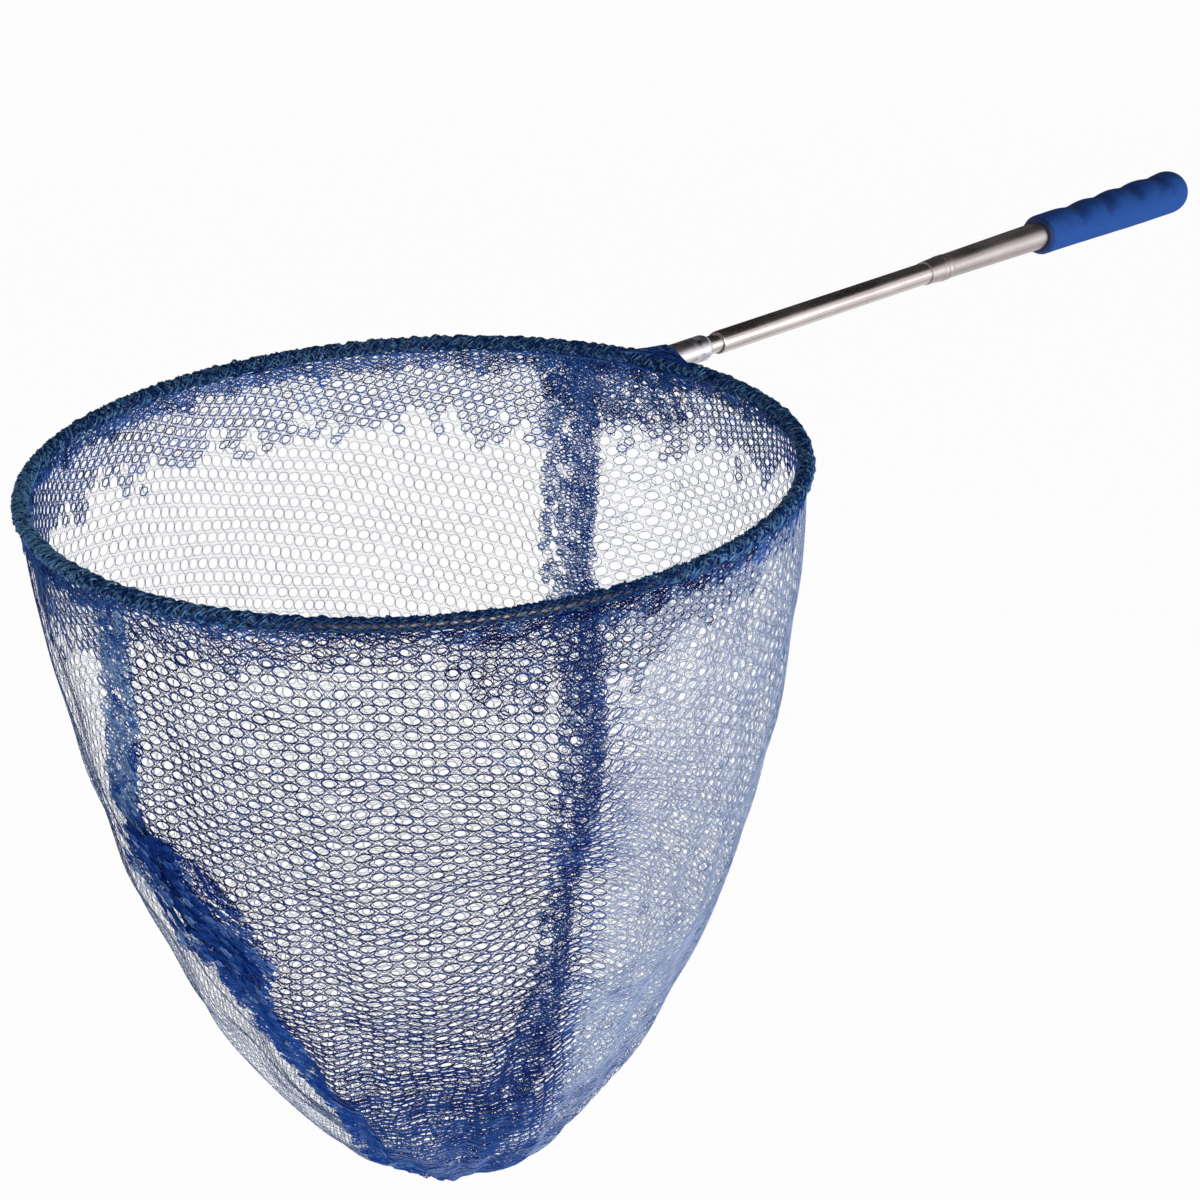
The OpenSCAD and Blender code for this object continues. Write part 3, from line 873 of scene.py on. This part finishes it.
class LANDINGNET_OT_gathers(bpy.types.Operator):
    """Bunch the net beside the ferrule and low on the outer seam"""
    bl_idname = "landing_net.gathers"
    bl_label = "Gathers"

    def execute(self, context):
        material = net_thread("GatherThread", linear(12, 52, 144), linear(52, 106, 200),
                              linear(156, 190, 238))
        fold_patch("bunched_net", lambda s: outer_seam(s) + 0.08, (118 * MM, 196 * MM), 60 * MM, 81,
                   0.27 * MM, 9 * MM, 5 * MM, material, 4)
        fold_patch("throat_net", lambda s: np.radians(6) + 0 * s, (-12 * MM, 32 * MM), 96 * MM, 91,
                   0.38 * MM, 7 * MM, 2.5 * MM, material, 2, "lashing")

        net = Net("mouth_net")
        rng = np.random.default_rng(97)
        around, reach = 84 * MM, 16 * MM
        covered = 0
        for tilt in (0.3, -0.3):
            mesh = Mesh((3.2, 2.0), (3.2, -2.0), (1.6, 1.1), tilt)
            centres = mesh.holes((0, 0), (around, reach * 1.1))
            centres = centres[centres[:, 1] > reach * 0.25 * rng.uniform(0, 1, len(centres))]
            for shape, thread in ((mesh.outline(6, 0.2), 0.42 * MM), (mesh.star(), 0.3 * MM)):
                lay_cells(net, shape, centres, lambda u, v: (2 * math.pi * u / around, v / reach), thread,
                          rng.normal(0.3, 0.2, (len(centres), 1)), tilt * MM, surface=on_throat)
                covered += thread_area(shape, thread) * len(centres)
        net.make(material, "head", "thread")
        return {"FINISHED"}


class LANDINGNET_OT_rim(bpy.types.Operator):
    """Twist the net of the sleeve round the hoop's wire"""
    bl_idname = "landing_net.rim"
    bl_label = "Rim"

    def execute(self, context):
        rim = look(context, "rim_look")
        material = net_thread("RimThread", rim.net, shade(rim.edge, 0.6), rim.edge)
        net = Net("rim_net")
        steps = 900
        under_count, under_strand = 4, 0.42 * MM
        theta = np.arange(steps) * 2 * math.pi / steps
        # worn marks the front stretch where the strands wear thin and the wire shows; the next mask is a
        # painted highlight on the rim's top-left side
        worn = smooth(np.degrees(theta), 198, 212) * (1 - smooth(np.degrees(theta), 246, 268))
        brightened = smooth(np.degrees(theta), 105, 140) * (1 - smooth(np.degrees(theta), 160, 178))
        around = round(2 * math.pi * HOOP_R / rim.lump)
        lumps = 1 + 0.10 * np.sin(around * theta) + 0.10 * even_ripple(theta, 90, 15)
        radial = np.cos(theta)[:, None] * TO_HANDLE + np.sin(theta)[:, None] * ACROSS

        def strand(turns, start, reach, thick, tint):
            turn = turns * theta + start
            spoke = np.cos(turn)[:, None] * radial + np.sin(turn)[:, None] * UPRIGHT
            points = HOOP_MID + HOOP_R * radial + reach[:, None] * spoke
            rim_s = np.zeros((1, steps))
            net.add(points[None], spoke[None], thick[None], True, theta[None], rim_s, tint[None])

        windings = round(2 * math.pi * HOOP_R / rim.pitch)
        for way in (1, -1):
            for k in range(rim.strand_count):
                start = 2 * math.pi * k / rim.strand_count + 0.5 * even_ripple(theta, 60, 100 + k)
                own = 1 + 0.07 * even_ripple(theta, 120, 300 + k + 50 * way)
                reach = (SLEEVE_R - rim.strand) * lumps * own + 0.2 * MM * way
                bare = worn * smooth(np.cos(way * windings * theta + start), -0.2, 0.5)
                reach = reach + (WIRE_R + 0.3 * MM - reach) * bare
                thick = rim.strand + (rim.worn_strand - rim.strand) * bare
                tint = 0.18 + 0.5 * brightened + 0.75 * even_ripple(theta, 190, 200 + k + 50 * way) - 0.4 * worn
                strand(way * windings, start, reach, thick, tint)
            for k in range(under_count):
                start = 2 * math.pi * k / under_count + 0.12 * even_ripple(theta, 80, 400 + k)
                reach = np.full(steps, WIRE_R + 0.75 * MM) + 0.1 * MM * way
                strand(way * round(around / 4), start, reach, np.full(steps, under_strand),
                       0.1 + 0.2 * even_ripple(theta, 150, 500 + k))
        made = net.make(material, "head", "rim_net", "rim_sleeve")
        paint_node("hoop_wire", steel("HoopWire", rim.wire, 0.42, 0.3))
        return {"FINISHED"}


class LANDINGNET_OT_grip(bpy.types.Operator):
    """Shape the foam grip with its finger grooves, and finish its collar and plug"""
    bl_idname = "landing_net.grip"
    bl_label = "Grip"

    def execute(self, context):
        grip = look(context, "grip_look")
        low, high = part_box("foam_grip")
        mouth, butt = low.x, high.x
        full = high.z
        mouth_r = full - 1.3 * MM
        tube_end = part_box("main_tube")[1].x
        body_rows, dome_rows, around = 180, 40, 96
        rows = body_rows + dome_rows
        dome = 14 * MM
        lip_round = 1.2 * MM
        taper_end = butt - 32 * MM
        domed = butt - dome + dome * np.sin(np.linspace(0, math.pi / 2, dome_rows + 1)[1:])
        x = np.concatenate([np.linspace(mouth, butt - dome, body_rows), domed])
        swell = mouth_r + (full - mouth_r) * smooth(x, mouth, taper_end)
        lip = np.sqrt(np.clip(1 - (1 - np.clip((x - mouth) / lip_round, 0, 1)) ** 2, 0, 1))
        end = np.clip((x - (butt - dome)) / dome, 0, 1)
        radius = swell * (1 - end ** 2.5) ** 0.42 - lip_round * (1 - lip)
        turn = np.arange(around) * 2 * math.pi / around
        top = np.clip(np.sin(turn), -1, 1)
        hold = smooth(top, -0.35, 0.85)
        first_groove = butt - 27.5 * MM
        grooves = first_groove - grip.groove_spacing * np.arange(4)
        dip = np.exp(-((x[:, None] - grooves) / grip.groove_width) ** 2).sum(1)
        body = radius[:, None] - grip.groove_depth * dip[:, None] * hold[None, :]
        body = body * (1 + 0.004 * ripple(x[:, None], turn[None, :] * 12 * MM, 12 * MM, 29))
        body = np.maximum(body, 0.05 * MM)
        outer = np.stack([np.repeat(x[:, None], around, 1), body * np.cos(turn), body * np.sin(turn)], -1)
        bore_r = 8 * MM
        bore = np.stack([np.full(around, mouth), bore_r * np.cos(turn), bore_r * np.sin(turn)], -1)
        deep = bore + np.array([tube_end - mouth, 0, 0])
        points = np.concatenate([deep[None], bore[None], outer]).reshape(-1, 3)
        points = np.concatenate([points, [[tube_end, 0, 0], [butt, 0, 0]]])
        index = np.arange((rows + 2) * around).reshape(rows + 2, around)
        beside = np.roll(index, -1, 1)
        quads = np.stack([index[:-1], beside[:-1], beside[1:], index[1:]], -1).reshape(-1, 4)
        inner, tip = len(points) - 2, len(points) - 1
        fans = np.concatenate([
            np.stack([np.full(around, inner), beside[0], index[0]], -1),
            np.stack([np.full(around, tip), index[-1], beside[-1]], -1)])
        # painted shade in the finger grooves and along the grip's top, laid into the foam's tint attribute
        groove_shade = dip[:, None] * smooth(top, 0.0, 0.9)[None, :]
        top_shade = 0.45 * smooth(top, 0.6, 1.0)[None, :]
        worn = np.maximum(groove_shade, top_shade).ravel()
        tint = np.concatenate([np.zeros(2 * around), worn, np.zeros(2)])
        thing = make_object("grip_foam", points, [quads, fans], tint=tint)
        thing.data.materials.append(foam("GripFoam", grip.foam, grip.foam_dark))
        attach(thing, "grip")
        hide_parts("foam_grip")
        # the collar's dark navy is painted shade: it stands for the shadow line at the grip's mouth
        paint_node("mouth_collar", moulded("Collar", linear(16, 40, 92), 0.6))
        paint_node("butt_plug", moulded("ButtPlug", linear(30, 30, 32), 0.55))
        return {"FINISHED"}


class LANDINGNET_OT_handle(bpy.types.Operator):
    """Finish the three tubes, their tails and their friction bushes"""
    bl_idname = "landing_net.handle"
    bl_label = "Handle"

    def execute(self, context):
        paint_node("main_tube", steel("MainTube", linear(180, 170, 170), 0.36, 0.35))
        paint_node("mid_tube", steel("MiddleTube", linear(200, 189, 188), 0.27, 0.2))
        paint_node("inner_tube", steel("InnerTube", linear(200, 189, 188), 0.25, 0.2))
        tail = moulded("TailPlug", linear(38, 38, 40), 0.5)
        strip = brushed_strip("FrictionBush", linear(182, 150, 82))
        for node in ("mid_tail", "inner_tail"):
            paint_node(node, tail)
        for node in ("mid_bush_left", "mid_bush_right", "inner_bush_left", "inner_bush_right"):
            paint_node(node, strip)
        return {"FINISHED"}


class LANDINGNET_OT_ferrule(bpy.types.Operator):
    """Finish the crimped ferrule and the core round the wire ends"""
    bl_idname = "landing_net.ferrule"
    bl_label = "Ferrule"

    def execute(self, context):
        paint_node("ferrule", bright_metal("Ferrule", linear(204, 201, 208), 0.36))
        paint_node("wire_core", bright_metal("WireCore", linear(120, 120, 124), 0.5))
        return {"FINISHED"}


# ---------------------------------------------------------------- stage

def area_light(name, place, target, width, power):
    lamp = bpy.data.lights.new(name, "AREA")
    lamp.shape = "DISK"
    lamp.size = width
    lamp.energy = power
    thing = bpy.data.objects.new(name, lamp)
    thing.location = place
    thing.rotation_euler = (Vector(target) - Vector(place)).to_track_quat("-Z", "Y").to_euler()
    bpy.context.scene.collection.objects.link(thing)
    return thing


def seen_directly(tree):
    """1 for the rays that see a background, directly or in metal or glass, and 0 for light on the object."""
    path = tree.nodes.new("ShaderNodeLightPath")
    seen = path.outputs["Is Camera Ray"]
    for ray in ("Is Glossy Ray", "Is Transmission Ray"):
        both = tree.nodes.new("ShaderNodeMath")
        both.operation = "MAXIMUM"
        tree.links.new(seen, both.inputs[0])
        tree.links.new(path.outputs[ray], both.inputs[1])
        seen = both.outputs["Value"]
    return seen


def dark_card(name, centre, size_xy, facing, blocks=False):
    """A dark sheet the camera doesn't see: it darkens reflections or, if it blocks, the light instead."""
    width, height = size_xy
    mesh = bpy.data.meshes.new(name)
    w, h = width / 2, height / 2
    mesh.from_pydata([(-w, -h, 0), (w, -h, 0), (w, h, 0), (-w, h, 0)], [], [(0, 1, 2, 3)])
    thing = bpy.data.objects.new(name, mesh)
    thing.location = centre
    thing.rotation_euler = (Vector(facing) - Vector(centre)).to_track_quat("Z", "Y").to_euler()
    finish = Finish(name, linear(30, 24, 26), 1.0)
    finish.paint(finish.ramp(finish.noise(3.0), (0.3, linear(24, 20, 22)), (0.7, linear(44, 36, 38))))
    mesh.materials.append(finish.material)
    bpy.context.scene.collection.objects.link(thing)
    thing.visible_camera = False
    thing.visible_diffuse = blocks
    thing.visible_shadow = blocks
    thing.visible_glossy = not blocks
    thing.visible_transmission = False
    return thing


class LANDINGNET_OT_stage(bpy.types.Operator):
    """Set the camera, the floor, the lights and the white background"""
    bl_idname = "landing_net.stage"
    bl_label = "Stage"

    def execute(self, context):
        stage = look(context, "stage_look")
        scene = context.scene
        scene.view_settings.view_transform = "Standard"

        across = math.cos(stage.azimuth) * TO_HANDLE - math.sin(stage.azimuth) * ACROSS
        level = math.sin(stage.azimuth) * TO_HANDLE + math.cos(stage.azimuth) * ACROSS
        ahead = math.cos(stage.elevation) * level - math.sin(stage.elevation) * UPRIGHT
        over = math.sin(stage.elevation) * level + math.cos(stage.elevation) * UPRIGHT
        right = math.cos(stage.roll) * across + math.sin(stage.roll) * over
        above = -math.sin(stage.roll) * across + math.cos(stage.roll) * over
        aside, below = 85.4 * MM, 59.6 * MM
        spot = HOOP_MID - stage.distance * ahead + aside * right - below * above
        lens = bpy.data.cameras.new("Camera")
        lens.lens, lens.sensor_width, lens.clip_start = stage.lens, 36, 0.05
        camera = bpy.data.objects.new("Camera", lens)
        turn = Matrix([right, above, -ahead]).transposed().to_4x4()
        camera.matrix_world = Matrix.Translation(Vector(spot)) @ turn
        scene.collection.objects.link(camera)
        scene.camera = camera

        floor_z = CAD_BOX[0].z - stage.floor_drop
        mesh = bpy.data.meshes.new("Floor")
        half = 9.0
        corners = [(x * half, y * half, floor_z) for x, y in ((-1, -1), (1, -1), (1, 1), (-1, 1))]
        mesh.from_pydata(corners, [], [(0, 1, 2, 3)])
        floor = bpy.data.objects.new("Floor", mesh)
        finish = Finish("FloorPaper", linear(236, 236, 238), 0.9)
        tree = finish.tree
        seen = seen_directly(tree)
        glow = finish.node("ShaderNodeEmission")
        share = finish.node("ShaderNodeMath", operation="MULTIPLY")
        tree.links.new(seen, share.inputs[0])
        share.inputs[1].default_value = 0.97
        mix = finish.node("ShaderNodeMixShader")
        tree.links.new(share.outputs["Value"], mix.inputs["Fac"])
        tree.links.new(finish.shader.outputs["BSDF"], mix.inputs[1])
        tree.links.new(glow.outputs["Emission"], mix.inputs[2])
        tree.links.new(mix.outputs["Shader"], tree.nodes["Material Output"].inputs["Surface"])
        mesh.materials.append(finish.material)
        scene.collection.objects.link(floor)

        world = bpy.data.worlds.new("Studio")
        scene.world = world
        world.use_nodes = True
        tree = world.node_tree
        sky = tree.nodes["Background"]
        sky.inputs["Color"].default_value = (1, 1, 1, 1)
        strength = tree.nodes.new("ShaderNodeMapRange")
        tree.links.new(seen_directly(tree), strength.inputs["Value"])
        strength.inputs["To Min"].default_value = stage.sky
        strength.inputs["To Max"].default_value = 1.0
        tree.links.new(strength.outputs["Result"], sky.inputs["Strength"])

        middle = tuple(HOOP_MID + np.array([0.1, 0, -0.1]))
        area_light("KeyLight", (-1.6, -1.7, 0.1), middle, 1.3, stage.key_power)
        area_light("FillLight", (0.9, -1.7, -0.1), middle, 1.1, stage.fill_power)
        area_light("BackLight", (0.2, 1.9, 0.9), middle, 1.5, stage.fill_power * 0.8)
        dark_card("DarkCardRoof", (0.6, 0.6, 1.3), (5.4, 4.0), (0.6, 0.6, 0))
        dark_card("RoofShade", (0.0, 0.4, 1.5), (9.0, 7.5), (0.0, 0.4, 0), blocks=True)
        dark_card("DarkCardBack", (1.2, 2.3, 0.4), (6.0, 1.8), (1.2, 0, 0.4))
        dark_card("DarkCardLow", (0.6, -0.27, -0.55), (3.4, 0.10), (0.6, -0.27, 0))
        return {"FINISHED"}


# ---------------------------------------------------------------- the add-on

class LANDINGNET_PT_panel(bpy.types.Panel):
    """Lists the landing net's sizes, colours and pieces"""
    bl_idname = "LANDINGNET_PT_panel"
    bl_label = "Landing Net"
    bl_space_type = "VIEW_3D"
    bl_region_type = "UI"
    bl_category = "Landing Net"

    def draw(self, context):
        for operator in PIECES:
            self.layout.operator(operator.bl_idname)
        for name, group in LOOKS.items():
            box = self.layout.box()
            box.label(text=name.replace("_", " ").capitalize())
            for prop in group.__annotations__:
                box.prop(getattr(context.scene, name), prop)


PIECES = (
    LANDINGNET_OT_stage,
    LANDINGNET_OT_handle,
    LANDINGNET_OT_ferrule,
    LANDINGNET_OT_grip,
    LANDINGNET_OT_rim,
    LANDINGNET_OT_bag,
    LANDINGNET_OT_seams,
    LANDINGNET_OT_hem,
    LANDINGNET_OT_gathers,
)


def register():
    for group in LOOKS.values():
        bpy.utils.register_class(group)
    for name, group in LOOKS.items():
        setattr(bpy.types.Scene, name, bpy.props.PointerProperty(type=group))
    for operator in PIECES:
        bpy.utils.register_class(operator)
    bpy.utils.register_class(LANDINGNET_PT_panel)


def unregister():
    bpy.utils.unregister_class(LANDINGNET_PT_panel)
    for operator in reversed(PIECES):
        bpy.utils.unregister_class(operator)
    for name, group in LOOKS.items():
        delattr(bpy.types.Scene, name)
        bpy.utils.unregister_class(group)


def main():
    register()
    for operator in PIECES:
        family, name = operator.bl_idname.split(".")
        getattr(getattr(bpy.ops, family), name)()


if __name__ == "__main__":
    main()
